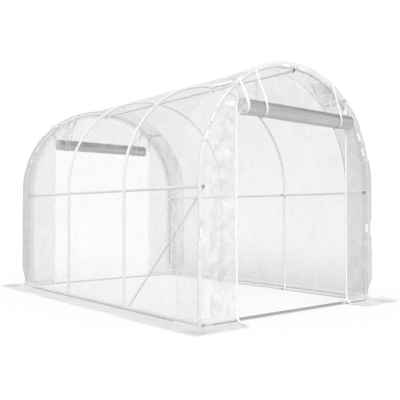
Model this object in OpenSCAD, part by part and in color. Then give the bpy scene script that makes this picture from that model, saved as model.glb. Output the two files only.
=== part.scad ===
// Walk-in polytunnel greenhouse: a tube frame of four arches, two base rails, two sills, three purlins
// and two braces, under a plastic film cover with a ground skirt and a zipped roll-up door at each end.
// Millimetres. X runs across the tunnel, Y along it with the front door at -Y, and Z up from the ground.

/* [Overall size] */
// Width across the outside of the frame
frame_w = 2000; // [1800:10:3000]
// Length over the outside of the frame
frame_l = 3000; // [2000:10:6000]
// Height to the top of the frame
frame_h = 2000; // [1700:10:2600]

/* [Tubes] */
// Diameter of the frame tubes
tube_d = 25; // [16:1:40]
// Diameter of the brace tubes
brace_d = 16; // [10:1:25]
// Gap left between two tubes, and between a tube and the film
fit_gap = 0.3; // [0.1:0.1:0.9]

/* [Arches] */
// Radius of the bend at each haunch, at the middle of the tube
haunch_r = 870; // [500:10:880]
// Angle that each haunch bend turns through
haunch_angle = 33; // [25:1:40]
// Distance from the top of the legs down to the side purlins
purlin_drop = 64; // [30:1:300]

/* [Cover] */
// Thickness of the film
film_t = 3; // [1:0.5:5]
// Width of the ground skirt outside the walls
skirt_w = 205; // [100:5:400]
// Pieces that each haunch of the cover is made in
haunch_pieces = 2; // [1:1:4]
// Pieces that the crown of the cover is made in
crown_pieces = 6; // [3:1:10]

/* [Doors] */
// Width of each doorway between its zips
door_w = 1300; // [800:10:1400]
// Width of each zip
zip_w = 25; // [10:1:50]
// Distance from the top of the arch down to the middle of a rolled-up door
roll_drop = 400; // [300:2:500]
// Diameter of a rolled-up door
roll_d = 130; // [80:5:180]
// Length of the front rolled-up door
roll_l = 1290; // [800:10:1450]
// Length of the rear rolled-up door
rear_roll_l = 1200; // [800:10:1450]
// Sideways offset of the front rolled-up door
front_roll_x = 12; // [-50:5:50]
// Sideways offset of the rear rolled-up door
rear_roll_x = 4; // [-50:5:50]
// Width of the straps that hold up a rolled-up door
strap_w = 22; // [15:1:40]
// Thickness of the straps
strap_t = 2; // [1:0.5:3]
// Distance that the straps start below the arch
strap_drop = 60; // [40:5:100]

/* [Clips] */
// Length of the clips that hold the cover to the end arches
clip_l = 75; // [40:5:120]
// Width of the clips
clip_w = 28; // [15:1:30]
// Thickness of the clips
clip_t = 3; // [2:0.5:5]
// Height of the clips on the legs
leg_clip_z = 660; // [200:10:700]
// Distance of the crown clips from the middle of the arch
crown_clip_x = 100; // [60:5:300]

/* [Hidden] */
ARCHES = ["front", "mid_front", "mid_rear", "rear"];
SIDES = ["left", "right"];
ENDS = ["front", "rear"];
$fn = 48;
bend_fn = 240; // segments round the wide bends of the arches

tube_r = tube_d / 2;
brace_r = brace_d / 2;

// The arch, along the middle of its tube: a straight leg, a haunch bend, then a flatter crown bend.
arch_x = frame_w / 2 - tube_r;
arch_top = frame_h - tube_r;
crown_r = (arch_x - haunch_r * (1 - cos(haunch_angle))) / cos(haunch_angle);
crown_z = arch_top - crown_r;
haunch_x = arch_x - haunch_r;
haunch_z = crown_z + (crown_r - haunch_r) * sin(haunch_angle);
end_y = frame_l / 2 - tube_r;
ARCH_Y = [-end_y, -end_y / 3, end_y / 3, end_y];

// Rails and purlins run just inside the arches, and the braces just inside those.
rail_x = arch_x - tube_d - fit_gap;
brace_x = rail_x - tube_r - fit_gap - brace_r;
purlin_z = haunch_z - purlin_drop;
ridge_z = arch_top - tube_d - fit_gap;
sill_half = rail_x - tube_r - fit_gap;

// The film lies just outside the tubes.
film_in = tube_r + fit_gap;
film_out = film_in + film_t;
cover_x = arch_x + film_out;
cover_y = end_y + film_out;
zip_edge = door_w / 2 + zip_w;

// Each rolled-up door hangs outside the end film, on straps that start under the arch.
roll_r = roll_d / 2;
roll_y = -cover_y - fit_gap - roll_r;
roll_z = arch_top - roll_drop;
strap_r = roll_r + fit_gap;
strap_end_angle = -150;
STRAP_X = [[-620, -428, 472], [-505, -468, 454]];

// The clips on the haunches sit at these angles above the top of the legs.
HAUNCH_CLIP_ANGLES = [20, 30];
clip_r = film_out + fit_gap;

function direction(angle) = [cos(angle), sin(angle)];

// A straight tube from one point to another.
module tube(from, to, r) {
    run = to - from;
    rotate_to_run = [0, acos(run.z / norm(run)), atan2(run.y, run.x)];
    translate(from)
        rotate(rotate_to_run)
            cylinder(h = norm(run), r = r);
}

// A flat profile swept round in the upright plane of an arch, between two angles from +X towards +Z.
module arc(from, to) {
    rotate([90, 0, 0])
        rotate([0, 0, from])
            rotate_extrude(angle = to - from, $fn = bend_fn)
                children();
}

// The flat area between two angles round the origin, out to a radius.
module sector(from, to, r) {
    steps = 4;
    polygon(concat(
        [[0, 0]],
        [for (i = [0 : steps]) r * direction(from + (to - from) * i / steps)]
    ));
}

// What is built on the right is mirrored on the left, and what is built at the front is mirrored at the rear.
module on_side(side) {
    mirror([side == "left" ? 1 : 0, 0, 0])
        children();
}

module at_end(end) {
    mirror([0, end == "rear" ? 1 : 0, 0])
        children();
}

// Places its children where the haunch bend of the right side has its centre, or the crown bend its own.
module at_haunch() {
    translate([haunch_x, 0, haunch_z])
        children();
}

module at_crown() {
    translate([0, 0, crown_z])
        children();
}

// The area inside an arch, reaching out from the middle of its tube.
module arch_area(out) {
    translate([-arch_x - out, 0])
        square([2 * (arch_x + out), haunch_z]);
    for (side = [-1, 1])
        translate([side * haunch_x, haunch_z])
            circle(haunch_r + out, $fn = bend_fn);
    translate([0, crown_z])
        intersection() {
            circle(crown_r + out, $fn = bend_fn);
            sector(haunch_angle, 180 - haunch_angle, 2 * frame_w);
        }
}

module leg(side, y) {
    color("whitesmoke")
        on_side(side)
            translate([arch_x, y, 0])
                cylinder(h = haunch_z, r = tube_r);
}

// A bow is two haunch tubes and a crown tube, with a fine joint between each two.
module bow(y) {
    haunch_joint = fit_gap / haunch_r * 90 / PI;
    crown_joint = fit_gap / crown_r * 90 / PI;
    color("whitesmoke")
        translate([0, y, 0]) {
            for (side = SIDES)
                on_side(side)
                    at_haunch()
                        arc(0, haunch_angle - haunch_joint)
                            translate([haunch_r, 0])
                                circle(tube_r);
            at_crown()
                arc(haunch_angle + crown_joint, 180 - haunch_angle - crown_joint)
                    translate([crown_r, 0])
                        circle(tube_r);
        }
}

// A tube that runs the whole length of the frame.
module long_tube(side, x, z) {
    color("whitesmoke")
        on_side(side)
            tube([x, -frame_l / 2, z], [x, frame_l / 2, z], tube_r);
}

module sill(end) {
    color("whitesmoke")
        at_end(end)
            tube([-sill_half, -end_y, tube_r], [sill_half, -end_y, tube_r], tube_r);
}

// A brace rises from the foot of a middle arch to the side purlin at an end arch.
module brace(side, foot_y, top_y) {
    color("whitesmoke")
        on_side(side)
            tube([brace_x, foot_y, tube_r], [brace_x, top_y, purlin_z], brace_r);
}

module cover_wall(side) {
    color("white", 0.5)
        on_side(side)
            translate([cover_x - film_t, -cover_y, 0])
                cube([film_t, 2 * cover_y, haunch_z]);
}

// One bend of the cover, in pieces with a fine joint between each two.
module cover_bend(r, from, to, pieces) {
    joint = fit_gap / r * 180 / PI;
    step = (to - from) / pieces;
    for (i = [0 : pieces - 1])
        arc(from + i * step + joint / 2, from + (i + 1) * step - joint / 2)
            translate([r + film_in, -cover_y])
                square([film_t, 2 * cover_y]);
}

module cover_roof() {
    color("white", 0.5) {
        for (side = SIDES)
            on_side(side)
                at_haunch()
                    cover_bend(haunch_r, 0, haunch_angle, haunch_pieces);
        at_crown()
            cover_bend(crown_r, haunch_angle, 180 - haunch_angle, crown_pieces);
    }
}

// Film that closes an end inside the arch, between two X values and above a height.
module end_film(from_x, to_x, from_z) {
    translate([0, film_t - cover_y, 0])
        rotate([90, 0, 0])
            linear_extrude(film_t)
                intersection() {
                    arch_area(tube_r);
                    translate([from_x, from_z])
                        square([to_x - from_x, frame_h]);
                }
}

module end_wall(end, side) {
    color("white", 0.5)
        at_end(end)
            on_side(side)
                end_film(zip_edge, frame_w, 0);
}

module gable(end) {
    color("white", 0.5)
        at_end(end)
            end_film(-door_w / 2, door_w / 2, roll_z);
}

module zips(end) {
    color("white")
        at_end(end)
            for (side = SIDES)
                on_side(side)
                    end_film(door_w / 2, zip_edge, 0);
}

module side_skirt(side) {
    color("white", 0.7)
        on_side(side)
            translate([cover_x, -cover_y - skirt_w, 0])
                cube([skirt_w, 2 * (cover_y + skirt_w), film_t]);
}

module end_skirt(end) {
    color("white", 0.7)
        at_end(end)
            for (side = SIDES)
                on_side(side)
                    translate([zip_edge, -cover_y - skirt_w, 0])
                        cube([cover_x - zip_edge, skirt_w, film_t]);
}

module door_roll(end) {
    half = (end == "front" ? roll_l : rear_roll_l) / 2;
    middle = end == "front" ? front_roll_x : rear_roll_x;
    color("gainsboro")
        at_end(end)
            tube([middle - half, roll_y, roll_z], [middle + half, roll_y, roll_z], roll_r);
}

// A strap drops from under the arch to the outer side of the roll, and turns back under it.
// Its outline is drawn about the middle of the roll, with the first axis pointing out from the tunnel.
module strap(x) {
    arch_height = crown_z + sqrt(pow(crown_r, 2) - pow(x, 2));
    top = [-roll_r, arch_height - strap_drop - roll_z];
    touch_angle = atan2(top.y, top.x) - acos(strap_r / norm(top));
    up = [-sin(touch_angle), cos(touch_angle)] * sqrt(pow(norm(top), 2) - pow(strap_r, 2));
    out = direction(touch_angle);
    steps = 24;
    turn = (touch_angle - strap_end_angle) / steps;
    translate([x + strap_w / 2, roll_y, roll_z])
        rotate([90, 0, -90])
            linear_extrude(strap_w)
                polygon(concat(
                    [for (i = [0 : steps]) strap_r * direction(strap_end_angle + i * turn)],
                    [strap_r * out + up, (strap_r + strap_t) * out + up],
                    [for (i = [0 : steps]) (strap_r + strap_t) * direction(touch_angle - i * turn)]
                ));
}

module straps(end) {
    color("white")
        at_end(end)
            for (x = STRAP_X[end == "front" ? 0 : 1])
                strap(x);
}

module clip_bend(r, angle) {
    half = clip_l / (r + clip_r) * 90 / PI;
    arc(angle - half, angle + half)
        translate([r + clip_r, -clip_w / 2])
            square([clip_t, clip_w]);
}

module clips(end) {
    color("white")
        at_end(end)
            translate([0, -end_y, 0])
                for (side = SIDES)
                    on_side(side) {
                        translate([arch_x + clip_r, -clip_w / 2, leg_clip_z - clip_l / 2])
                            cube([clip_t, clip_w, clip_l]);
                        at_haunch()
                            for (angle = HAUNCH_CLIP_ANGLES)
                                clip_bend(haunch_r, angle);
                        at_crown()
                            clip_bend(crown_r, acos(crown_clip_x / crown_r));
                    }
}

for (i = [0 : len(ARCHES) - 1], side = SIDES)
    leg(side, ARCH_Y[i]);
for (i = [0 : len(ARCHES) - 1])
    bow(ARCH_Y[i]);
for (side = SIDES)
    long_tube(side, rail_x, tube_r);
for (end = ENDS)
    sill(end);
for (side = SIDES)
    long_tube(side, rail_x, purlin_z);
long_tube("right", 0, ridge_z);  // ridge_purlin
brace("left", ARCH_Y[1], ARCH_Y[0]);  // brace_left
brace("right", ARCH_Y[2], ARCH_Y[3]);  // brace_right
for (side = SIDES)
    cover_wall(side);
cover_roof();
for (end = ENDS, side = SIDES)
    end_wall(end, side);
for (end = ENDS)
    gable(end);
for (side = SIDES)
    side_skirt(side);
for (end = ENDS)
    end_skirt(end);
for (end = ENDS)
    zips(end);
for (end = ENDS)
    door_roll(end);
for (end = ENDS)
    straps(end);
for (end = ENDS)
    clips(end);
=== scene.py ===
"""Looks for a walk-in polytunnel greenhouse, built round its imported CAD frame.

Metres. X runs across the tunnel, Y along it with the front door at -Y, and Z up from the ground.
A place on an arch is given by u, the distance along the middle of the tube from the top of the arch
(negative on the left), and by out, the distance outwards from the middle of the tube.
"""

from math import acos, atan2, copysign, cos, pi, radians, sin, sqrt

import bmesh
import bpy
import numpy as np
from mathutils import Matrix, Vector


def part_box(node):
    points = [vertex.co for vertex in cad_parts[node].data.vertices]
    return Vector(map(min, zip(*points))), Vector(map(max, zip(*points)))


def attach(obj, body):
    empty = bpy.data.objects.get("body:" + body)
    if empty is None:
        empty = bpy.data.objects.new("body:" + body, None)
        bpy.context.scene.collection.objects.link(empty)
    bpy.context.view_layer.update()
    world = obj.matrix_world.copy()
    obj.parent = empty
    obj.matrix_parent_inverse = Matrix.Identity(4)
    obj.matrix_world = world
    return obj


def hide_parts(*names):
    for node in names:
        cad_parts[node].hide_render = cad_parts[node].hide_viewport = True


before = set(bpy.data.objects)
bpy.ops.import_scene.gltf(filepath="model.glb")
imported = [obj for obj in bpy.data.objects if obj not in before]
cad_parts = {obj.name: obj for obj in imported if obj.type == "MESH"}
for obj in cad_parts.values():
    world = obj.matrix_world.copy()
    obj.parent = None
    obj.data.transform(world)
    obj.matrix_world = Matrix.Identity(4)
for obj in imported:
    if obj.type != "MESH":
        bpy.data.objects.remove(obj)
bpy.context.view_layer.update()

SIDES = {"left": -1, "right": 1}
ENDS = {"front": -1, "rear": 1}
ARCHES = ["front", "mid_front", "mid_rear", "rear"]
TUBES = ("leg_", "bow_", "base_rail", "sill_", "side_purlin", "ridge_", "brace_")
X_AXIS, Y_AXIS, Z_AXIS = np.eye(3)


def middle(node, axis):
    """The middle of a CAD node's box along one axis."""
    low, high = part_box(node)
    return (getattr(low, axis) + getattr(high, axis)) / 2


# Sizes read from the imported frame.
leg_low, leg_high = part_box("leg_front_left")
roll_low, roll_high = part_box("door_roll_front")
FILM_HALF = 0.0015      # half the thickness of the CAD's film
TUBE_R = (leg_high.x - leg_low.x) / 2
ARCH_X = -middle("leg_front_left", "x")
END_Y = -middle("leg_front_left", "y")
LEG_TOP = leg_high.z
ARCH_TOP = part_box("bow_front")[1].z - TUBE_R
ARCH_Y = [middle(f"leg_{arch_name}_left", "y") for arch_name in ARCHES]
FILM_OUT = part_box("cover_wall_right")[0].x + FILM_HALF - ARCH_X
ROLL_X = {end: [corner.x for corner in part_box(f"door_roll_{end}")] for end in ENDS}
ROLL_Y = -middle("door_roll_front", "y")
ROLL_Z = middle("door_roll_front", "z")
ROLL_R = (roll_high.z - roll_low.z) / 2
RAIL_X = middle("base_rail_right", "x")
PURLIN_Z = middle("side_purlin_right", "z")
RIDGE_Z = middle("ridge_purlin", "z")
FRAME_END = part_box("ridge_purlin")[1].y

# The bends of the arches, as part.scad has them.
HAUNCH_R = 0.87
HAUNCH_ANGLE = radians(33)
CROWN_R = (ARCH_X - HAUNCH_R * (1 - cos(HAUNCH_ANGLE))) / cos(HAUNCH_ANGLE)
CROWN_Z = ARCH_TOP - CROWN_R
HAUNCH_X = ARCH_X - HAUNCH_R
CROWN_HALF = CROWN_R * (pi / 2 - HAUNCH_ANGLE)
HAUNCH_LENGTH = HAUNCH_R * HAUNCH_ANGLE
CURVED_HALF = CROWN_HALF + HAUNCH_LENGTH
ARCH_HALF = CURVED_HALF + LEG_TOP

# Features that the CAD leaves to this scene.
CLIP_HALF = 0.038       # half the length of a clip
CLIP_SPREAD = {-1: (60, 225), 1: (-135, 135)}   # degrees round the tube: 0 outwards, 90 at its end face
CLIP_U = [0.1, CURVED_HALF - HAUNCH_R * radians(30), CURVED_HALF - HAUNCH_R * radians(20),
          CURVED_HALF + LEG_TOP - 0.66]
CURVE_TOP = 0.06        # height at which the film starts to curve out into the ground flap
CURVE_REACH = 0.052     # how far that curve takes it out
FLAP_Z = 0.0035         # height of the flap's film over the ground
FLAP_REACH = 0.206      # how far the flap goes out from the walls
FLAP_STEPS = 25         # places along the flap of one end panel
BAND_Y = 1.25           # the doubled band of film reaches from here to the end arch
ZIP_X = 0.66           # middle of each zip
HEM_Z = 1.6            # height of the fold on the front left panel
FLATTENED = 0.84        # a roll's depth as a share of its height
FLAT_Y = ROLL_Y - (1 - FLATTENED) * ROLL_R
DOOR_LENGTH = 1.6      # the door from its top seam to its hem
ROLL_OUTER = ROLL_R - 0.0015
ROLL_CORE = 0.013       # radius of the hole in the middle of a roll
ROLL_TURNS = DOOR_LENGTH / (pi * (ROLL_OUTER + ROLL_CORE))
TAPE_SHIFT = {"front": {-1: -0.012, 1: 0.012}, "rear": {-1: -0.01, 1: -0.018}}
STRAP_OUT = 0.022       # how far over the tube's middle a strap is sewn on
STRAPS = {              # X of each door strap at the arch and at the roll
    "front": [(-0.64, -0.62), (-0.477, -0.428), (0.45, 0.472)],
    "rear": [(-0.44, -0.505), (-0.336, -0.468), (0.57, 0.454)],
}

# The doubled band's course over an end arch: (out, distance beyond the middle of the arch's tube).
LOOSE_COURSE = [(0.019, BAND_Y - END_Y), (0.0192, -0.12), (0.0215, -0.05), (0.027, -0.01),
                (0.0325, 0.022), (0.031, 0.038), (0.024, 0.0475), (0.01, 0.044),
                (-0.01, 0.033), (-0.03, 0.0235), (-0.055, 0.018), (-0.08, 0.0165)]
TIGHT_COURSE = [(0.015, BAND_Y - END_Y), (0.015, -0.12), (0.015, -0.05), (0.015, -0.01),
                (0.0145, 0.0039), (0.0125, 0.0083), (0.009, 0.012), (0.004, 0.0145),
                (-0.006, 0.0155), (-0.03, 0.0163), (-0.055, 0.0165), (-0.08, 0.0165)]
COURSE_COUNT = 44
PANEL_OUT = LOOSE_COURSE[-1][0]
PANEL_Y = END_Y + LOOSE_COURSE[-1][1]

# The corners of a roof patch, as X and distance beyond the arch's tube: two at the arch, two at the seam.
PATCH = np.array([(0.437, -0.01), (0.61, -0.015), (0.654, -0.245), (0.407, -0.155)])


# ---- shapes

def arch_turn(away):
    """The angle that an arch has turned through at a distance from its top."""
    return np.clip(away, 0, CROWN_HALF) / CROWN_R + np.clip(away - CROWN_HALF, 0, HAUNCH_LENGTH) / HAUNCH_R


def arch(u, out):
    """X and Z of a place on an arch."""
    u, out = np.broadcast_arrays(np.asarray(u, float), np.asarray(out, float))
    away = np.abs(u)
    turn = arch_turn(away)
    drop = np.clip(away - CROWN_HALF - HAUNCH_LENGTH, 0, None)
    on_crown = away < CROWN_HALF
    radius = np.where(on_crown, CROWN_R, HAUNCH_R) + out
    x = np.where(on_crown, 0, HAUNCH_X) + radius * np.sin(turn)
    z = np.where(on_crown, CROWN_Z, LEG_TOP) + radius * np.cos(turn) - drop
    return np.where(u < 0, -x, x), z


def side_by_side(*columns):
    """Rows made of these columns, where a single number fills its column."""
    return np.stack(np.broadcast_arrays(*columns), -1)


def arch_path(u, out, y):
    """Places on an arch, as rows of X, Y, Z."""
    x, z = arch(u, out)
    return side_by_side(x, y, z)


def arch_normal(u):
    """The direction straight out from an arch, as rows of X, Y, Z."""
    u = np.atleast_1d(np.asarray(u, float))
    turn = arch_turn(np.abs(u))
    return side_by_side(np.sign(u) * np.sin(turn), 0, np.cos(turn))


def crown_u(x, out):
    """The u at which the crown of an arch, at distance out, has this X."""
    return CROWN_R * np.arcsin(x / (CROWN_R + out))


def smooth(value, low, high):
    """0 below low, 1 above high, and a soft step between."""
    t = np.clip((value - low) / (high - low), 0, 1)
    return t * t * (3 - 2 * t)


def waves(seed, a, b, count, shortest, longest):
    """A smooth uneven field over two coordinates, mostly between -1 and 1."""
    random = np.random.default_rng(seed)
    total = np.zeros(np.broadcast(a, b).shape)
    for _ in range(count):
        angle = random.uniform(0, 2 * pi)
        length = shortest * (longest / shortest) ** random.uniform()
        phase = random.uniform(0, 2 * pi)
        along = a * cos(angle) + b * sin(angle)
        total = total + np.sin(2 * pi * along / length + phase)
    return total / sqrt(count)


def creases(seed, a, b, count, lengths, widths):
    """Straight folds scattered over a sheet, each a sharp ridge or valley that fades at its ends."""
    random = np.random.default_rng(seed)
    total = np.zeros(np.broadcast(a, b).shape)
    for _ in range(count):
        middle_a = random.uniform(np.min(a), np.max(a))
        middle_b = random.uniform(np.min(b), np.max(b))
        angle = random.uniform(0, pi)
        length = random.uniform(*lengths)
        width = random.uniform(*widths)
        height = random.choice([-1, 1]) * random.uniform(0.4, 1)
        along = (a - middle_a) * cos(angle) + (b - middle_b) * sin(angle)
        across = (b - middle_b) * cos(angle) - (a - middle_a) * sin(angle)
        fade = np.clip(1 - (2 * along / length) ** 2, 0, 1)
        total = total + height * np.exp(-np.abs(across) / width) * fade
    return total


def distances(path):
    """The distance of each place from the start of its path."""
    return np.concatenate([[0], np.cumsum(np.linalg.norm(np.diff(path, axis=0), axis=1))])


def place_at(path, reach, at):
    """The place on a path at a distance from its start."""
    return side_by_side(*[np.interp(at, reach, column) for column in path.T])


def curve_through(points, count):
    """Evenly spaced points on a smooth curve through the given ones."""
    points = np.asarray(points, float)
    padded = np.concatenate([2 * points[:1] - points[1:2], points, 2 * points[-1:] - points[-2:-1]])
    steps = np.linspace(0, 1, 12, endpoint=False)[:, None]
    fine = []
    for i in range(1, len(padded) - 2):
        p0, p1, p2, p3 = padded[i - 1:i + 3]
        fine.append(0.5 * (2 * p1 + (p2 - p0) * steps + (2 * p0 - 5 * p1 + 4 * p2 - p3) * steps ** 2
                           + (3 * p1 - p0 - 3 * p2 + p3) * steps ** 3))
    fine = np.concatenate(fine + [points[-1:]])
    reach = distances(fine)
    return place_at(fine, reach, np.linspace(0, reach[-1], count))


def straight(base, direction, steps):
    """Places on a straight line, at steps from its base."""
    return base + direction * np.array(steps)[:, None]


def unit(vectors):
    return vectors / np.linalg.norm(vectors, axis=-1, keepdims=True)


def tangents(path):
    return unit(np.gradient(path, axis=0))


# ---- pieces

def add_object(name, data):
    """A mesh, lamp or camera as an object in the scene."""
    made = bpy.data.objects.new(name, data)
    bpy.context.scene.collection.objects.link(made)
    return made


def make_piece(name, points, faces, material, solid=True):
    """A mesh that rides on the tunnel's one body and takes its finish from a material slot."""
    mesh = bpy.data.meshes.new(name)
    mesh.from_pydata(np.asarray(points, float).tolist(), [], faces)
    if solid:
        shape = bmesh.new()
        shape.from_mesh(mesh)
        bmesh.ops.recalc_face_normals(shape, faces=shape.faces)
        shape.to_mesh(mesh)
        shape.free()
    mesh.shade_smooth()
    mesh.materials.append(material)
    piece = add_object(name, mesh)
    if solid:
        mesh.set_sharp_from_angle(angle=radians(40))
    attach(piece, "root")
    return piece


def sheet_piece(name, surface, material):
    """A sheet of film as one grid of faces."""
    rows, columns = surface.shape[:2]
    index = np.arange(rows * columns).reshape(rows, columns)
    faces = np.stack([index[:-1, :-1], index[1:, :-1], index[1:, 1:], index[:-1, 1:]], -1)
    return make_piece(name, surface.reshape(-1, 3), faces.reshape(-1, 4).tolist(), material, False)


def solid_piece(name, parts, material, end=-1):
    """Closed shapes as one piece. Where end is 1, shapes made for the front are mirrored."""
    points, faces, start = [], [], 0
    for part_points, part_faces in parts:
        points.append(part_points)
        faces.extend([[corner + start for corner in face] for face in part_faces])
        start += len(part_points)
    return make_piece(name, np.concatenate(points) * np.array([1, -end, 1]), faces, material)


def sweep(path, side, up, outline, scale=1.0):
    """A closed outline carried along a path, with flat ends.

    side and up are the outline's two axes, and scale is its size at each place on the path.
    """
    side, up = [np.broadcast_to(axis, path.shape)[:, None] for axis in (side, up)]
    outline = np.broadcast_to(outline, (len(path), *np.shape(outline)[-2:])) * np.reshape(scale, (-1, 1, 1))
    rings = path[:, None] + side * outline[:, :, :1] + up * outline[:, :, 1:]
    count, corners = rings.shape[:2]
    index = np.arange(count * corners).reshape(count, corners)
    turned = np.roll(index, -1, axis=1)
    faces = np.stack([index[:-1], turned[:-1], turned[1:], index[1:]], -1).reshape(-1, 4).tolist()
    faces.append(index[0][::-1].tolist())
    faces.append(index[-1].tolist())
    return rings.reshape(-1, 3), faces


def flat_outline(width, thickness):
    """A ribbon's outline: a flat strip with rounded edges."""
    w, t = width / 2, thickness / 2
    return [(-w, -t / 2), (-w + t, -t), (w - t, -t), (w, -t / 2),
            (w, t / 2), (w - t, t), (-w + t, t), (-w, t / 2)]


def ring_points(radius, turn):
    return side_by_side(radius * np.cos(turn), radius * np.sin(turn))


def round_solid(path, side, up, radii, count=16):
    """A solid that is round across its path, with a radius for each place on it."""
    ring = ring_points(1, np.linspace(0, 2 * pi, count, endpoint=False))
    return sweep(path, side, up, ring, radii)


def block(centre, size):
    """A small box with bevelled long edges, lying along its longest side."""
    long_axis = int(np.argmax(size))
    across, up = [axis for axis in range(3) if axis != long_axis]
    axes = np.eye(3)
    a, b = size[across] / 2, size[up] / 2
    cut = min(a, b) / 4
    outline = [(-a, -b + cut), (-a + cut, -b), (a - cut, -b), (a, -b + cut),
               (a, b - cut), (a - cut, b), (-a + cut, b), (-a, b - cut)]
    half = size[long_axis] / 2
    path = straight(centre, axes[long_axis], [-half, -half + cut, half - cut, half])
    tip = max(a - cut, a / 2) / a
    return sweep(path, axes[across], axes[up], outline, [tip, 1, 1, tip])


# ---- materials

def rgba(colour):
    """A colour as four numbers, from its three or from one grey."""
    return (*np.broadcast_to(colour, 3).tolist(), 1)


class Nodes:
    """A node tree, and short ways to add to it. An input is a value or another node's output."""

    def __init__(self, tree):
        self.tree = tree

    def fill(self, node, inputs):
        for key, value in inputs.items():
            if isinstance(value, bpy.types.NodeSocket):
                self.tree.links.new(value, node.inputs[key])
            else:
                node.inputs[key].default_value = value

    def add(self, kind, inputs, **settings):
        node = self.tree.nodes.new("ShaderNode" + kind)
        for key, value in settings.items():
            setattr(node, key, value)
        self.fill(node, inputs)
        return node

    def maths(self, operation, first, second=0.0, clamp=False):
        return self.add("Math", {0: first, 1: second}, operation=operation, use_clamp=clamp).outputs[0]

    def plus(self, base, value, share, clamp=False):
        """A base with a share of another value added to it."""
        return self.maths("ADD", base, self.maths("MULTIPLY", value, share), clamp)


class Finish(Nodes):
    """A material with one Principled shader, whose noise lies in the tunnel's own frame."""

    def __init__(self, name):
        self.material = bpy.data.materials.new(name)
        self.material.use_nodes = True
        super().__init__(self.material.node_tree)
        self.shader = next(node for node in self.tree.nodes if node.type == "BSDF_PRINCIPLED")
        self.place = self.add("TexCoord", {}).outputs["Object"]
        self.axes = self.add("SeparateXYZ", {"Vector": self.place}).outputs

    def noise(self, scale, detail=3.0, stretch=None, distortion=0.0):
        """A cloudy value from 0 to 1. stretch scales the three directions apart."""
        place = self.place
        if stretch:
            place = self.add("Mapping", {"Vector": place, "Scale": stretch}).outputs[0]
        inputs = {"Vector": place, "Scale": scale, "Detail": detail, "Distortion": distortion}
        return self.add("TexNoise", inputs).outputs["Fac"]

    def threads(self, scale, direction):
        """Even bands from 0 to 1 across one direction."""
        inputs = {"Vector": self.place, "Scale": scale}
        return self.add("TexWave", inputs, bands_direction=direction).outputs["Fac"]

    def scaled(self, value, low, high, from_low=0.3, from_high=0.7):
        """A value mapped from one range to another, and held inside it."""
        inputs = {"Value": value, "From Min": from_low, "From Max": from_high, "To Min": low, "To Max": high}
        return self.add("MapRange", inputs, clamp=True).outputs[0]

    def crease_lines(self, scale, width, stretch):
        """Long thin wandering lines, 1 on a line and 0 off it, strong in some places and absent in others."""
        value = self.noise(scale, 1.0, stretch, 0.5)
        off = self.maths("ABSOLUTE", self.maths("SUBTRACT", value, 0.5))
        where = self.scaled(self.noise(scale * 0.6, 1.0), 0, 1, 0.42, 0.62)
        return self.maths("MULTIPLY", self.scaled(off, 1, 0, 0.0, width), where)

    def set(self, **sockets):
        """Sets the shader's sockets by name, with _ for a space."""
        self.fill(self.shader, {key.replace("_", " "): value for key, value in sockets.items()})

    def paint(self, value, first, second, **sockets):
        """A colour between two, by a value from 0 to 1, and the shader's other sockets."""
        inputs = {0: value, 6: rgba(first), 7: rgba(second)}
        self.set(Base_Color=self.add("Mix", inputs, data_type="RGBA").outputs[2], **sockets)

    def bump(self, height, strength, distance):
        """Raises the surface by a value, and returns the finished material."""
        inputs = {"Height": height, "Strength": strength, "Distance": distance}
        self.set(Normal=self.add("Bump", inputs).outputs[0])
        return self.material


def film_material(name, light, dark, body, edge=0.1, blotch=12.0, contrast=0.1, crease=0.08, ripple=0.25,
                  dense_below=None, rim=None, lean=None, sides=None, painted_side_light=None):
    """Clear plastic film: thin where it is seen square on, denser towards its edge, with creases.

    body is its density square on and edge what is added at a glancing view. blotch is the scale of its
    lighter and darker patches and contrast how far they differ. The lighter patches and fold lines of its
    colour are partly its own uneven tint and partly painted highlights of crumpled film. crease is how
    dense its fold lines are and ripple how strong its bumps. haze is the height where it is dense, the
    height where it is clear and the amounts at the left and right walls. rim is the distance along the
    tunnel beyond which it is two layers thick, and the second layer's amount. lean is what its density is
    multiplied by at the left and right walls, and sides in the middle and at both walls. tone is painted
    light and shade: how much lighter its colour is made at the left and right walls.
    """
    film = Finish(name)
    across = film.axes["X"]
    cloud = film.noise(1.4, 2.0, distortion=0.4)
    patches = film.noise(blotch, 3.0, distortion=0.3)
    folds = film.maths("ADD", film.crease_lines(3.2, 0.05, (1, 1, 0.6)),
                       film.crease_lines(5.0, 0.08, (1, 1, 1.5)))
    facing = film.add("LayerWeight", {"Blend": 0.5}).outputs["Facing"]
    alpha = film.scaled(cloud, body * 0.88, body * 1.12)
    alpha = film.maths("ADD", alpha, film.scaled(patches, -body * contrast, body * contrast))
    if lean:
        alpha = film.maths("MULTIPLY", alpha, film.scaled(across, *lean, -1, 1))
    if sides:
        alpha = film.maths("MULTIPLY", alpha, film.scaled(film.maths("ABSOLUTE", across), *sides, 0.45, 0.95))
    alpha = film.plus(alpha, folds, crease)
    alpha = film.plus(alpha, film.maths("POWER", facing, 3.0), edge)
    if dense_below:
        low, high, left, right = dense_below
        height = film.maths("POWER", film.scaled(film.axes["Z"], 1, 0, low, high), 1.3)
        alpha = film.plus(alpha, film.scaled(across, left, right, -1, 1), height)
    if rim:
        start, amount = rim
        beyond = film.maths("ABSOLUTE", film.axes["Y"])
        alpha = film.maths("ADD", alpha, film.scaled(beyond, 0, amount, start, start + 0.015))
    # Lighter patches and fold lines in the colour: partly the film's uneven tint, partly painted highlights
    # of its crumples.
    shade = film.plus(film.scaled(patches, 0, 1, 0.36, 0.64), folds, 0.5, clamp=True)
    # Painted light and shade by side: the colour is made lighter towards one wall and darker towards the
    # other.
    if painted_side_light:
        shade = film.maths("ADD", shade, film.scaled(across, *painted_side_light, -0.9, 0.9), clamp=True)
    film.paint(shade, dark, light, Alpha=film.maths("MINIMUM", alpha, 0.96, clamp=True),
               Roughness=film.scaled(patches, 0.22, 0.38), Specular_IOR_Level=0.5, IOR=1.45)
    return film.bump(film.plus(patches, folds, 0.25), ripple, 0.02)


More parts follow.
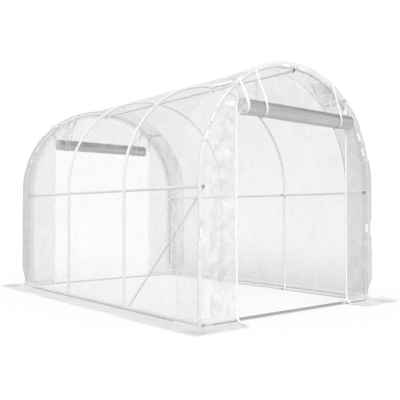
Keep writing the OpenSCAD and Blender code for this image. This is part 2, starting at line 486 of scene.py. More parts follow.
def powder_coat():
    """White powder coat on steel tube: a fine orange peel, a little uneven, duller in places."""
    coat = Finish("white_powder_coat")
    cloud = coat.noise(6.0, 4.0)
    coat.paint(cloud, (0.9, 0.9, 0.905), 0.96, Roughness=coat.scaled(cloud, 0.28, 0.42),
               Coat_Weight=0.15, Coat_Roughness=0.2)
    return coat.bump(coat.noise(700.0, 2.0), 0.15, 0.0005)


def sill_coat_with_painted_shade():
    """The powder coat of the front sill, with a painted shade that makes it dark grey across the doorway
    between the zips, except along its very bottom.
    """
    sill = Finish("sill_with_painted_shade")
    cloud = sill.noise(18.0, 4.0, stretch=(0.4, 1, 1))
    # Painted shade: dark across the doorway between the zips, with a ragged edge from the noise, and the
    # light coat elsewhere and at the very bottom.
    edge = sill.plus(sill.maths("ABSOLUTE", sill.axes["X"]), cloud, 0.04)
    coat = sill.scaled(edge, 0, 1, ZIP_X - 0.03, ZIP_X + 0.04)
    coat = sill.maths("MAXIMUM", coat, sill.scaled(sill.axes["Z"], 1, 0, 0.005, 0.012))
    sill.paint(sill.plus(coat, cloud, 0.22, clamp=True), (0.26, 0.26, 0.27), 0.92,
               Roughness=sill.scaled(cloud, 0.3, 0.5))
    return sill.bump(sill.noise(400.0, 2.0), 0.15, 0.0006)


def rolled_film():
    """Many layers of film in a roll: grey and streaked along its length, with painted shade that makes it
    darker on top and lighter below.
    """
    roll = Finish("rolled_film")
    streaks = roll.noise(60.0, 5.0, stretch=(0.015, 1, 1))
    broad = roll.noise(14.0, 3.0, stretch=(0.08, 1, 1))
    # Painted shade: the roll's colour is lighter towards its bottom and darker on top.
    lower = roll.scaled(roll.axes["Z"], 1, 0, ROLL_Z - ROLL_R, ROLL_Z + ROLL_R * 0.8)
    uneven = roll.scaled(roll.maths("ADD", streaks, broad), -0.12, 0.28, 0.7, 1.3)
    mix = roll.maths("ADD", roll.maths("POWER", lower, 1.6), uneven, clamp=True)
    roll.paint(mix, 0.215, 0.78, Roughness=roll.scaled(streaks, 0.3, 0.5), Specular_IOR_Level=0.5)
    return roll.bump(streaks, 0.4, 0.002)


def webbing(name, light, dark, through):
    """Narrow woven tape. through is the share of the light behind it that it lets through."""
    tape = Finish(name)
    weave = tape.maths("MULTIPLY", tape.threads(170.0, "X"), tape.threads(120.0, "Z"))
    soil = tape.noise(25.0, 4.0)
    tape.paint(tape.plus(tape.maths("MULTIPLY", weave, 0.4), soil, 0.6), dark, light,
               Roughness=tape.scaled(soil, 0.75, 0.9), Sheen_Weight=0.2, Transmission_Weight=through)
    if through:
        tape.set(IOR=1.1)
    return tape.bump(weave, 0.3, 0.0002)


def moulded(name, light, dark, rough, grain=180.0):
    """Moulded plastic with a faint grain."""
    plastic = Finish(name)
    fine = plastic.noise(grain, 4.0)
    plastic.paint(plastic.noise(35.0, 3.0), dark, light,
                  Roughness=plastic.scaled(fine, rough - 0.06, rough + 0.08))
    return plastic.bump(fine, 0.12, 0.0006)


def zinc():
    """Bright zinc plate on bolts and buttons."""
    plate = Finish("zinc_plate")
    cloud = plate.noise(90.0, 4.0)
    plate.paint(cloud, (0.3, 0.3, 0.31), (0.46, 0.46, 0.47), Metallic=0.9,
                Roughness=plate.scaled(cloud, 0.28, 0.5))
    return plate.bump(cloud, 0.1, 0.0005)


TUBE = powder_coat()
FRONT_SILL_PAINTED_SHADE = sill_coat_with_painted_shade()
# Painted shade: the cover is made denser low on the walls, far more on the right wall than on the left.
FILM = film_material("cover_film_clear", 0.62, 0.5, 0.15, 0.22, blotch=4.0, crease=0.06,
                     dense_below=(0.04, 0.5, 0.04, 0.26), lean=(0.45, 1.3))
LEFT_FILM = film_material("end_film_crumpled", (0.92, 0.92, 0.89), (0.66, 0.66, 0.64), 0.22, 0.2,
                          contrast=0.2, dense_below=(1.57, 1.605, 0.28, 0.28), lean=(1.2, -1.6))
RIGHT_FILM = film_material("end_film_smooth", 0.66, 0.6, 0.43, 0.2, blotch=6.0, contrast=0.05, crease=0.05)
REAR_FILM = film_material("end_film_rear", (0.76, 0.76, 0.74), (0.58, 0.58, 0.56), 0.28, 0.2, blotch=7.0,
                          contrast=0.2)
GABLE_FILM = film_material("gable_film_clear", (0.86, 0.86, 0.84), (0.52, 0.52, 0.51), 0.26, 0.2, blotch=6.0,
                           contrast=0.25, crease=0.1)
# The front band's colour is painted lighter at the left wall and darker at the right: painted light and
# shade.
BAND_FILM = film_material("band_film_front", (0.96, 0.96, 0.93), (0.46, 0.46, 0.45), 0.13, 0.12, blotch=9.0,
                          contrast=0.15, crease=0.06, sides=(0.55, 1.9), ripple=0.05, rim=(1.5, 0.1),
                          painted_side_light=(0.7, -0.7))
# A darker, denser copy of the band's film for the rear end: painted shade, as the rear band is seen from
# inside, against the light.
REAR_BAND_FILM_PAINTED_SHADE = film_material("band_film_rear", (0.62, 0.62, 0.59), (0.44, 0.44, 0.42), 0.24, blotch=9.0,
                               contrast=0.2, rim=(1.5, 0.32), sides=(0.25, 1.0), ripple=0.05)
SKIRT_FILM = film_material("skirt_film_clear", 0.8, 0.72, 0.38, 0.3, blotch=4.0, contrast=0.08, crease=0.06)
SEAM_FILM = film_material("welded_hem", 0.99, 0.95, 0.95, contrast=0.06, crease=0.06)
BAR_FILM = film_material("pinched_hem", 0.99, 0.95, 0.9, crease=0.1)
PATCH_FILM = film_material("patch_film", 0.66, 0.52, 0.26, blotch=6.0, ripple=0.05)
WELD_FILM = film_material("welded_edge", 0.97, 0.88, 0.34, contrast=0.2, crease=0.1)
# A dark film strip at the foot of the walls: painted shadow under the base rails.
FOOT_SHADOW_STRIP = film_material("foot_shadow_strip", 0.52, 0.42, 0.42, crease=0.05)
ROLL_EDGE = moulded("rolled_film_edge", 0.92, 0.66, 0.5, 90.0)
ROLL_FILM_PAINTED_SHADE = rolled_film()
THROUGH = {"front": 0.0, "rear": 0.7}
ZIP_TAPE = {end: webbing(f"zip_tape_{end}", 0.99, 0.95, through) for end, through in THROUGH.items()}
STRAP_WEB = {end: webbing(f"strap_webbing_{end}", 0.98, 0.9, through) for end, through in THROUGH.items()}
ZIP_COIL = moulded("zip_coil", 0.96, 0.88, 0.35)
CLIP_PLASTIC = moulded("clip_plastic", 0.99, 0.95, 0.35)
CAP_PLASTIC = moulded("cap_plastic", (0.045, 0.045, 0.048), (0.02, 0.02, 0.022), 0.5)
ZINC = zinc()


# ---- cover

FILM_END = ARCH_HALF - CURVE_TOP    # u at which the film starts its curve into the ground flap
ZIP_U = crown_u(ZIP_X, PANEL_OUT)
LOOSE = curve_through(LOOSE_COURSE, COURSE_COUNT)
TIGHT = curve_through(TIGHT_COURSE, COURSE_COUNT)

# The places along an end arch where the band has its rows, with one at each zip.
BAND_U = np.concatenate([np.linspace(-FILM_END, -ZIP_U, 170)[:-1], np.linspace(-ZIP_U, ZIP_U, 120),
                         np.linspace(ZIP_U, FILM_END, 170)[1:]])


def bay_share(y):
    """0 at each arch and 1 half way between two."""
    edges = np.array(ARCH_Y)
    bay = np.clip(np.searchsorted(edges, y) - 1, 0, len(edges) - 2)
    t = np.clip((y - edges[bay]) / (edges[bay + 1] - edges[bay]), 0, 1)
    return np.sin(pi * t)


def cover_shape(u, y):
    """How far out the cover lies: on the tubes at the arches, slack and wrinkled between them."""
    bay = bay_share(y)
    away = np.abs(u)
    low = smooth(away, CROWN_HALF + 0.2, CURVED_HALF + 0.3)
    height = ARCH_HALF - away
    sag = -0.006 * bay * (1 - low)
    slack = 0.006 * waves(11, u * 0.8, y * 1.6, 12, 0.35, 1.1) * low * np.sqrt(bay)
    ground = np.exp(-np.clip(height, 0, None) / 0.28)
    pulls = 0.004 * waves(12, u * 0.25, y, 10, 0.07, 0.3) * ground * np.sqrt(bay)
    folds = 0.0035 * creases(13, u, y, 110, (0.15, 0.8), (0.012, 0.04)) * (0.25 + 0.75 * low) * np.sqrt(bay)
    settle = smooth(height, CURVE_TOP, CURVE_TOP + 0.06)
    return FILM_OUT + (sag + slack + pulls + folds) * settle


def cover():
    """Both side walls and the roof, which are one sheet, with closer rows on the walls."""
    wall = np.arange(0, 1.16, 0.0125)
    crown = np.arange(wall[-1] + 0.02, FILM_END, 0.02)
    half = FILM_END - np.concatenate([wall, crown])
    u = np.concatenate([-half, [0], half[::-1]])
    y = np.linspace(-END_Y - FILM_OUT, END_Y + FILM_OUT, 241)
    u, y = np.meshgrid(u, y, indexing="ij")
    piece = sheet_piece("cover_film", arch_path(u, cover_shape(u, y), y), FILM)
    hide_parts("cover_wall_left", "cover_wall_right", "cover_roof")


def clip_hold(u, end):
    """How firmly a front clip holds the film against the arch's face at each u, from 0 to 1."""
    if end > 0:
        return np.zeros_like(u)
    reach = np.min([np.abs(np.abs(u) - place) for place in CLIP_U], axis=0)
    return 1 - smooth(reach, CLIP_HALF, CLIP_HALF + 0.05)


def band_course(u, end):
    """The band's course at each u: loose in general, and drawn in tight towards the ground."""
    tight = 1 - smooth(ARCH_HALF - np.abs(u), CURVE_TOP, CURVE_TOP + 0.16)
    course = LOOSE + (TIGHT - LOOSE) * tight[:, None, None]
    share = np.linspace(0, 1, COURSE_COUNT)
    held = clip_hold(u, end)[:, None] * smooth(share, 0.665, 0.745)
    course = course + (TIGHT - course) * held[:, :, None]
    bulge = np.exp(-((share - 0.72) / 0.12) ** 2)
    lumps = 0.003 * waves(21 + end, u[:, None], 0.3 * share, 9, 0.14, 0.55)
    lumps = lumps + 0.0018 * creases(25 + end, u[:, None], 0.35 * share, 70, (0.04, 0.14), (0.01, 0.024))
    calm = 1 - 0.7 * smooth(np.abs(u), CROWN_HALF, CROWN_HALF + 0.8 * HAUNCH_LENGTH)
    lumps = lumps * (bulge + 0.12 * (share < 0.66)) * ((1 - tight) * calm)[:, None]
    beside_zip = np.abs(np.abs(arch(u, 0.02)[0]) - ZIP_X)
    lumps = lumps * smooth(beside_zip, 0.02, 0.09)[:, None] * (1 - held)
    lumps = lumps * smooth(1 - share, 0, 0.08) * smooth(share, 0, 0.1)
    return course + lumps[:, :, None] * np.array([0.6, 0.8])


def band(end_name):
    """The doubled film over an end arch, from its seam on the cover round the corner to the end film."""
    end = ENDS[end_name]
    course = band_course(BAND_U, end)
    surface = arch_path(BAND_U[:, None], course[:, :, 0], end * (END_Y + course[:, :, 1]))
    piece = sheet_piece(f"band_film_{end_name}", surface, BAND_FILM if end < 0 else REAR_BAND_FILM_PAINTED_SHADE)


def end_surface(end, side, x, z, seed, seams, most=None):
    """A panel of end film with its wrinkles, which seams takes to 0 along the panel's edges."""
    buckles = 0.007 * waves(seed, x * 1.3, z, 12, 0.12, 0.5)
    folds = 0.0032 * creases(seed + 1, x, z, 110, (0.08, 0.3), (0.012, 0.035))
    off = np.clip((buckles + folds) * seams, -0.004, most)
    return side_by_side(side * x, end * (PANEL_Y + off), z)


def side_panel(end_name, side_name):
    """The end film between an arch and a zip, from the ground up to where the zip meets the arch."""
    end, side = ENDS[end_name], SIDES[side_name]
    outer_x, outer_z = arch(BAND_U[BAND_U >= ZIP_U - 1e-9], PANEL_OUT)
    share = np.linspace(0, 1, 42)
    x = outer_x[:, None] + (ZIP_X - outer_x[:, None]) * share
    z = np.repeat(outer_z[:, None], len(share), axis=1)
    width = np.abs(outer_x - ZIP_X)
    edge = np.minimum(share * width[:, None], (1 - share) * width[:, None])
    seams = smooth(edge, 0.012, 0.06) * smooth(z, CURVE_TOP, CURVE_TOP + 0.08)
    seams = seams * smooth(np.abs(z - HEM_Z), 0.02, 0.07)
    seed = {"front": 40, "rear": 60}[end_name] + (0 if side > 0 else 8)
    front_film = LEFT_FILM if side < 0 else RIGHT_FILM
    piece = sheet_piece(f"end_film_{end_name}_{side_name}", end_surface(end, side, x, z, seed, seams),
                        REAR_FILM if end > 0 else front_film)
    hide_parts(f"{end_name}_wall_{side_name}")


def gable(end_name):
    """The end film above the doorway, from the rolled door up to the arch."""
    columns = BAND_U[np.abs(BAND_U) <= ZIP_U + 1e-9]
    top_x, top_z = arch(columns, PANEL_OUT)
    share = np.linspace(0, 1, 44)
    z = top_z[:, None] + (ROLL_Z - top_z[:, None]) * share
    x = np.repeat(top_x[:, None], len(share), axis=1)
    height = (top_z - ROLL_Z)[:, None]
    seams = smooth(share * height, 0, 0.05) * smooth((1 - share) * height, 0, 0.09)
    seams = seams * smooth(ZIP_U - np.abs(columns)[:, None], 0, 0.05)
    seed = {"front": 80, "rear": 90}[end_name]
    surface = end_surface(ENDS[end_name], 1, x, z, seed, seams, 0.02)
    piece = sheet_piece(f"gable_film_{end_name}", surface, GABLE_FILM)
    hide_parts(f"{end_name}_gable")


# ---- ground flap

def flap_plan(side):
    """X and Y of the flap's two edges on one side: at the foot of the walls, and out on the ground."""
    corner = TIGHT + np.array([ARCH_X, END_Y])
    wall_x, panel_x = corner[0, 0], corner[-1, 0]
    panel = side_by_side(np.linspace(ZIP_X - 0.004, panel_x, FLAP_STEPS + 1)[:-1], PANEL_Y)
    quarter = np.concatenate([panel, corner[::-1]])
    wall = side_by_side(wall_x, np.linspace(quarter[-1, 1], -quarter[-1, 1], 200)[1:-1])
    inner = np.concatenate([quarter, wall, quarter[::-1] * np.array([1, -1])])
    x, y = inner.T
    spread = wall_x + FLAP_REACH * smooth(x, panel_x - 0.03, wall_x - 0.001)
    outer_x = np.where(x < panel_x + 1e-6, x, spread)
    outer_y = np.sign(y) * (np.abs(y) + FLAP_REACH * smooth(np.abs(y), END_Y - 0.09, PANEL_Y))
    outer_x = outer_x + 0.01 * waves(31 + side, y, x, 7, 0.3, 1.4) * (outer_x > wall_x + 0.1)
    outer_y = outer_y + 0.008 * waves(33 + side, x, y, 7, 0.2, 0.9) * (np.abs(outer_y) > PANEL_Y + 0.1)
    beside_door = smooth(0.74 - x, 0, 0.1) * smooth(np.abs(y), PANEL_Y - 0.01, PANEL_Y)
    return inner, side_by_side(outer_x + 0.055 * beside_door, outer_y)


def flap_surface(side):
    """The flap down its curve from the walls and out over the ground, rippled where it lies."""
    inner, outer = flap_plan(side)
    span = outer - inner
    length = np.linalg.norm(span, axis=1)[:, None]
    turn = np.linspace(0, pi / 2, 9)
    curve_out = CURVE_REACH * (1 - np.cos(turn))
    curve_up = FLAP_Z + (CURVE_TOP - FLAP_Z) * (1 - np.sin(turn))
    start = CURVE_REACH / length
    lying = start + (1 - start) * np.linspace(0, 1, 18)[None, 1:]
    share = np.concatenate([curve_out / length, lying], 1)
    place = inner[:, None] + span[:, None] * share[:, :, None]
    height = np.concatenate([np.tile(curve_up, (len(inner), 1)), np.full(lying.shape, FLAP_Z)], 1)
    x, y = place[:, :, 0], place[:, :, 1]
    ripple = 0.5 + 0.5 * waves(35 + side, x, y, 9, 0.08, 0.4)
    fine = 0.5 + 0.5 * creases(37 + side, x, y, 160, (0.05, 0.25), (0.006, 0.02))
    height = height + smooth(share, 0.3, 1) * np.clip(0.005 * ripple + 0.002 * fine, -0.001, 0.012)
    return side_by_side(side * x, y, height)


def foot_shadow_strip(surface, part):
    """A dark strip along one straight part of the flap, half way down its curve: a painted shadow at the foot
    of the wall.
    """
    foot = surface[part, 5] + 0.0015 * Z_AXIS
    slope = unit(surface[part, 6] - surface[part, 4])
    return sweep(foot, slope, np.cross(slope, tangents(foot)), flat_outline(0.012, 0.0008))


def skirt(side_name):
    """The ground flap of one side: from the front zip round both corners to the rear zip."""
    surface = flap_surface(SIDES[side_name])
    past_corner = FLAP_STEPS + COURSE_COUNT
    parts = [slice(0, FLAP_STEPS), slice(past_corner, -past_corner), slice(-FLAP_STEPS, None)]
    # Dark strips along the flap's curve: painted shadow at the foot of the walls.
    strips = [foot_shadow_strip(surface, part) for part in parts]
    solid_piece(f"foot_shadow_strip_{side_name}", strips, FOOT_SHADOW_STRIP)
    piece = sheet_piece(f"skirt_film_{side_name}", surface, SKIRT_FILM)
    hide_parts(f"skirt_{side_name}", "skirt_front", "skirt_rear")


def corner_flap(end_name, side_name):
    """The folded-over corner of the ground flap, a second layer on top of the first."""
    end, side = ENDS[end_name], SIDES[side_name]
    low, high = ARCH_X + 0.045, ARCH_X + 0.205
    x = np.linspace(low, high, 20)
    y = np.linspace(END_Y + 0.045, END_Y + 0.205, 20)
    x, y = np.meshgrid(x, y, indexing="ij")
    lift = 0.5 + 0.5 * waves(45 + 2 * end + side, x, y, 8, 0.06, 0.3)
    z = 0.0125 + 0.004 * lift + 0.008 * smooth(high - x + y, END_Y + 0.3, END_Y + 0.1)
    x = x - 0.03 * smooth(y, END_Y + 0.06, END_Y + 0.2)
    surface = side_by_side(side * x, end * y, z)
    piece = sheet_piece(f"skirt_corner_{end_name}_{side_name}", surface, SKIRT_FILM)


# ---- doors

def roll_place(end, x, radius, turn):
    """Places in a roll, as rows of X, Y, Z. turn goes from its inner side down and round."""
    z = ROLL_Z - radius * np.sin(turn)
    y = end * (FLAT_Y - FLATTENED * radius * np.cos(turn))
    return side_by_side(x, y, z)


def spiral_radius(turn):
    return ROLL_OUTER + (ROLL_CORE - ROLL_OUTER) * turn / turn[-1]


def door_roll(end_name):
    """The door as one sheet wound into a spiral, hanging from the gable film's lower edge."""
    end = ENDS[end_name]
    turn = np.linspace(0, 2 * pi * ROLL_TURNS, int(ROLL_TURNS * 72))
    radius = spiral_radius(turn)
    low, high = ROLL_X[end_name]
    turn, x = np.meshgrid(turn, np.linspace(-1, 1, 91), indexing="ij")
    radius = radius[:, None] * np.ones_like(x)
    half = (high - low) / 2 - 0.003 + 0.0015 * np.sin(3.1 * turn)
    x = (low + high) / 2 + x * half
    lumps = 0.0012 * waves(51 + end, x * 0.6, 0.12 * turn, 8, 0.12, 0.5)
    lines = 0.0007 * waves(53 + end, x * 0.02, 0.065 * np.mod(turn, 2 * pi), 12, 0.01, 0.05)
    radius = radius + (lumps + lines) * smooth(turn, 0.3, 1.2)
    piece = sheet_piece(f"door_rolled_{end_name}", roll_place(end, x, radius, turn), ROLL_FILM_PAINTED_SHADE)
    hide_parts(f"door_roll_{end_name}")


def roll_edges(end_name):
    """The door's half of each zip, wound up in the ends of the roll: edges inside, a rim outside."""
    end = ENDS[end_name]
    pitch = (ROLL_OUTER - ROLL_CORE) / ROLL_TURNS
    turn = np.linspace(0, 2 * pi * ROLL_TURNS, 480)
    rim_turn = np.linspace(0, 2 * pi, 73)
    edges, rims = [], []
    for x, inward in zip(ROLL_X[end_name], (1, -1)):
        out = side_by_side(0, -end * np.cos(turn), -np.sin(turn))
        edge_x = x + inward * (0.0045 + 0.0008 * np.sin(2.3 * turn))
        path = roll_place(end, edge_x, spiral_radius(turn) - pitch / 2, turn)
        edges.append(sweep(path, out, X_AXIS, flat_outline(pitch - 0.0012, 0.004)))
        out = side_by_side(0, -end * np.cos(rim_turn), -np.sin(rim_turn))
        path = roll_place(end, x + inward * 0.002, ROLL_R, rim_turn)
        rims.append(sweep(path, X_AXIS, out, flat_outline(0.004, 0.001)))
        core = straight(np.array([x, end * FLAT_Y, ROLL_Z]), inward * X_AXIS, [0.001, 0.008])
        edges.append(round_solid(core, Y_AXIS, Z_AXIS, [ROLL_CORE - 0.001] * 2))
    solid_piece(f"door_roll_edges_{end_name}", edges, ROLL_EDGE)
    solid_piece(f"door_roll_rims_{end_name}", rims, ZIP_COIL)


def strap_line(top_z):
    """A strap's course from the side: distance outwards and height, over the roll and up behind it."""
    top = np.array([ROLL_Y + (END_Y + 0.05 - FLAT_Y) / FLATTENED, top_z])
    wrap_r = ROLL_R + 0.0008
    middle_of_roll = np.array([ROLL_Y, ROLL_Z])
    away = top - middle_of_roll
    touch = atan2(away[1], away[0]) - acos(wrap_r / np.linalg.norm(away))
    touched = middle_of_roll + ring_points(wrap_r, touch)
    fall = top + (touched - top) * np.linspace(0, 1, 8)[:-1, None]
    wrap = middle_of_roll + ring_points(wrap_r, np.linspace(touch, -pi, 30))
    line = np.concatenate([fall, wrap])
    line[:, 0] = np.maximum(FLAT_Y + (line[:, 0] - ROLL_Y) * FLATTENED, PANEL_Y + 0.001)
    rise_z = np.linspace(ROLL_Z, top_z - 0.075, 8)[1:]
    rise_y = PANEL_Y + 0.0012 + 0.018 * smooth(rise_z, top_z - 0.16, top_z - 0.06)
    return line, side_by_side(rise_y, rise_z)


def strap(top_x, roll_x):
    """A front strap's loop: from the seam over the arch, down outside the roll, under it, and up behind."""
    top_z = float(arch(crown_u(top_x, STRAP_OUT), STRAP_OUT)[1])
    down, rise = strap_line(top_z)
    line = np.concatenate([down, rise])
    x = roll_x + (top_x - roll_x) * smooth(line[:, 1], ROLL_Z + ROLL_R, top_z)
    x[-len(rise):] = np.linspace(roll_x, roll_x + 0.55 * (top_x - roll_x), len(rise))
    path = curve_through(side_by_side(x, -line[:, 0], line[:, 1]), 150)
    along = tangents(path)
    across = unit(X_AXIS - along * along[:, :1])
    tab = block(path[0] + np.array([0, 0.0012, -0.006]), (0.027, 0.0022, 0.015))
    return [sweep(path, across, np.cross(along, across), flat_outline(0.022, 0.0014)), tab]


def straps(end_name):
    parts = [part for places in STRAPS[end_name] for part in strap(*places)]
    piece = solid_piece(f"strap_ribbons_{end_name}", parts, STRAP_WEB[end_name], ENDS[end_name])
    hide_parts(f"straps_{end_name}")


def zip_path(side):
    """A zip's course: up from the flap, up the end film, over the corner and along the roof to the seam."""
    flap = [(ZIP_X + 0.045, PANEL_Y + 0.17, 0.0085), (ZIP_X + 0.03, PANEL_Y + 0.11, 0.0075),
            (ZIP_X + 0.012, PANEL_Y + 0.055, 0.0085), (ZIP_X + 0.003, PANEL_Y + 0.018, 0.026),
            (ZIP_X, PANEL_Y + 0.004, 0.075)]
    up = [(ZIP_X, PANEL_Y + 0.0035, z) for z in np.arange(0.15, 1.6, 0.1)]
    over = []
    for out, beyond in LOOSE[::-2]:
        z = arch(crown_u(ZIP_X, out + 0.006), out + 0.006)[1]
        over.append((ZIP_X, END_Y + beyond + (0.006 if beyond > 0.012 else 0), float(z)))
    return np.array(flap + up + over) * np.array([side, -1, 1])


def zip_frame(side, path):
    """The directions along, across and out of a zip's tape at each place on its path."""
    along = tangents(path)
    on_roof = smooth(path[:, 1], -END_Y - 0.045, -END_Y - 0.005) * (path[:, 2] > LEG_TOP)
    outward = arch_normal(crown_u(side * ZIP_X, 0.02))[0]
    level = side * X_AXIS
    sloping = np.array([side * outward[2], 0, -abs(outward[0])])
    sideways = level + (sloping - level) * on_roof[:, None]
    across = unit(sideways - along * (sideways * along).sum(1, keepdims=True))
    return along, across, np.cross(across, along) * side


def zip_parts(side, shift):
    """A front zip as tape halves, coil teeth and a slider: open below the roll and closed above it.

    shift is how far the tape of the open part lies from the zip's line, outwards from the doorway.
    """
    path = curve_through(zip_path(side), 620)
    along, across, normal = zip_frame(side, path)
    front = np.argmax(path[:, 2] > ROLL_Z + 0.085)
    over = front + np.argmin(path[front:, 1])

    def tape(part, width, aside=0.0):
        line = path[part] + across[part] * aside
        return sweep(line, across[part], normal[part], flat_outline(width, 0.0012))

    tapes = [tape(slice(0, front + 2, 2), 0.022, shift), tape(slice(front, over + 2, 2), 0.04)]
    reach = distances(path)
    coil = []
    for number, at in enumerate(np.arange(0.02, reach[over], 0.0042)):
        index = min(np.searchsorted(reach, at), len(path) - 1)
        is_closed = index > front
        if number % 2 and not is_closed:
            continue
        a, n, t = across[index], normal[index], along[index]
        stagger = 0.0012 if number % 2 == 0 else -0.0012
        beside = stagger if is_closed else shift - copysign(0.01, shift)
        tooth = place_at(path, reach, at) + a * beside + n * 0.0012
        coil.append(sweep(straight(tooth, t, [-0.0012, 0.0012]), a, n,
                          [(-0.0024, -0.0008), (0.0024, -0.0008), (0.0018, 0.001), (-0.0018, 0.001)]))
    slide = path[front] + normal[front] * 0.0035
    coil.append(block(slide, (0.012, 0.0045, 0.017)))
    coil.append(block(slide + np.array([0, -0.0035, -0.02]), (0.008, 0.0016, 0.034)))
    return tapes, coil, tape(slice(over, None, 2), 0.04)


def zips(end_name):
    """Both zips of an end: their tapes, their teeth and sliders, and their tapes along the roof."""
    end = ENDS[end_name]
    tapes, coils, roof_tapes = zip(*[zip_parts(side, TAPE_SHIFT[end_name][side]) for side in SIDES.values()])
    piece = solid_piece(f"zip_tapes_{end_name}", tapes[0] + tapes[1], ZIP_TAPE[end_name], end)
    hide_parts(f"zips_{end_name}")
    solid_piece(f"zip_coils_{end_name}", coils[0] + coils[1], ZIP_COIL, end)
    solid_piece(f"zip_tapes_roof_{end_name}", roof_tapes, ZIP_TAPE["rear"], end)


# ---- seams and fittings

def hem_bar():
    """The pinched hem that covers the front left zip over the roof, from the arch to the band's seam."""
    along = np.linspace(0, 1, 30)
    u = crown_u(-(ZIP_X + 0.004 - 0.008 * along), 0.03)
    y = -END_Y - 0.02 + (END_Y - BAND_Y + 0.02) * along
    path = arch_path(u, 0.03 + 0.0015 * np.sin(9 * along), y)
    size = 0.5 + 0.5 * np.sin(pi * (0.12 + 0.8 * along))
    return sweep(path, np.cross(arch_normal(u), Y_AXIS), arch_normal(u), flat_outline(0.046, 0.005), size)


def hem_fold():
    """The flat fold of film that lies across the front left panel beside the zip."""
    middle_line = curve_through([(-ZIP_X - 0.01, HEM_Z), (-0.73, HEM_Z - 0.002), (-0.8, HEM_Z - 0.012)], 20)
    path = np.insert(middle_line, 1, -(PANEL_Y + 0.013), axis=1)
    outline = [flat_outline(width, 0.0014) for width in np.linspace(0.056, 0.022, 20)]
    return sweep(path, Z_AXIS, Y_AXIS, outline)


def seams(end_name):
    """The welded seam round the tunnel where a band ends, and the two hems of the front left zip."""
    u = np.linspace(-FILM_END, FILM_END, 260)
    path = arch_path(u, 0.0205, ENDS[end_name] * (BAND_Y + 0.006))
    seam = sweep(path, Y_AXIS, arch_normal(u), flat_outline(0.01, 0.001))
    solid_piece(f"seam_weld_{end_name}", [seam], WELD_FILM)
    if end_name == "front":
        solid_piece("hem_bar_front_left", [hem_bar()], BAR_FILM)
        solid_piece("hem_fold_front_left", [hem_fold()], SEAM_FILM)


def on_band(x, beyond, above):
    """Places on the doubled band of the front arch, above being the distance over the film."""
    course = np.array(LOOSE_COURSE[:8])
    out = np.interp(beyond, course[:, 1], course[:, 0]) + above
    return arch_path(crown_u(x, out), out, -(END_Y + beyond))


def roof_patch(side_name):
    """A second layer of film where the front band is cut and welded beside a zip."""
    side = SIDES[side_name]
    across, along = np.meshgrid(np.linspace(0, 1, 16), np.linspace(0, 1, 16), indexing="ij")
    across, along = across[:, :, None], along[:, :, None]
    place = ((1 - along) * (PATCH[0] + (PATCH[1] - PATCH[0]) * across)
             + along * (PATCH[3] + (PATCH[2] - PATCH[3]) * across))
    surface = on_band(side * place[:, :, 0], place[:, :, 1], 0.0095)
    piece = sheet_piece(f"roof_patch_front_{side_name}", surface, PATCH_FILM)
    strips = []
    for start, stop in ((0, 3), (3, 2), (2, 1)):
        edge = PATCH[start] + (PATCH[stop] - PATCH[start]) * np.linspace(0, 1, 14)[:, None]
        path = on_band(side * edge[:, 0], edge[:, 1], 0.011)
        normal = arch_normal(crown_u(side * edge[:, 0], 0.025))
        strips.append(sweep(path, np.cross(normal, tangents(path)), normal, flat_outline(0.008, 0.0008)))
    solid_piece(f"roof_patch_welds_{side_name}", strips, WELD_FILM)


def clip_shape(end, u_middle):
    """A snap clip: a C-shaped shell round an end arch's tube, a little narrower at its two ends."""
    turn = np.radians(np.linspace(*CLIP_SPREAD[end], 24))
    ring = np.concatenate([ring_points(TUBE_R + 0.008, turn), ring_points(TUBE_R + 0.004, turn[::-1])])
    half_steps = np.array([CLIP_HALF, CLIP_HALF - 0.002, CLIP_HALF - 0.006, CLIP_HALF / 2])
    half_swell = np.array([0.93, 0.985, 1, 1])
    u = u_middle + np.concatenate([-half_steps, [0], half_steps[::-1]])
    swell = np.concatenate([half_swell, [1], half_swell[::-1]])
    path = arch_path(u, 0, end * END_Y)
    return sweep(path, arch_normal(u), end * Y_AXIS, ring, swell)


def clips(end_name):
    parts = [clip_shape(ENDS[end_name], side * place) for place in CLIP_U for side in (-1, 1)]
    piece = solid_piece(f"snap_clips_{end_name}", parts, CLIP_PLASTIC)
    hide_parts(f"clips_{end_name}")


def caps():
    """Domed caps in both ends of the rails and purlins."""
    places = [(side * RAIL_X, z) for side in (-1, 1) for z in (TUBE_R, PURLIN_Z)] + [(0, RIDGE_Z)]
    beyond = [-0.004, 0.0008, 0.0016, 0.0024, 0.0028]
    radii = [0.0122, 0.0122, 0.0116, 0.0085, 0.003]
    parts = []
    for end in (-1, 1):
        for x, z in places:
            path = straight(np.array([x, end * FRAME_END, z]), end * Y_AXIS, beyond)
            parts.append(round_solid(path, X_AXIS, Z_AXIS, radii, 20))
    solid_piece("tube_caps", parts, CAP_PLASTIC)


def collar_ring(u_middle, y):
    """A thin ring round an arch's tube."""
    u = u_middle + np.array([-0.0011, -0.0007, 0.0007, 0.0011])
    path = arch_path(u, 0, y)
    return round_solid(path, arch_normal(u), Y_AXIS, [0.0126, 0.013, 0.013, 0.0126], 24)


def spring_button(u, y):
    """A button that stands out of the inner side of an arch's tube."""
    inward = -arch_normal(u)[0]
    base = arch_path([u], 0, y)[0] + inward * (TUBE_R - 0.002)
    path = straight(base, inward, [0, 0.003, 0.0042])
    return round_solid(path, Y_AXIS, np.cross(inward, Y_AXIS), [0.0036, 0.0036, 0.0018], 12)


def collars():
    """Two rings where one tube of an arch slides into the next, and a spring button beside them."""
    rings, buttons = [], []
    for y in ARCH_Y:
        for side in (-1, 1):
            for place in (CROWN_HALF, CURVED_HALF):
                rings += [collar_ring(side * (place + step), y) for step in (-0.0015, 0.0)]
                buttons.append(spring_button(side * (place + 0.03), y))
    solid_piece("tube_collars", rings, TUBE)
    solid_piece("spring_buttons", buttons, ZINC)


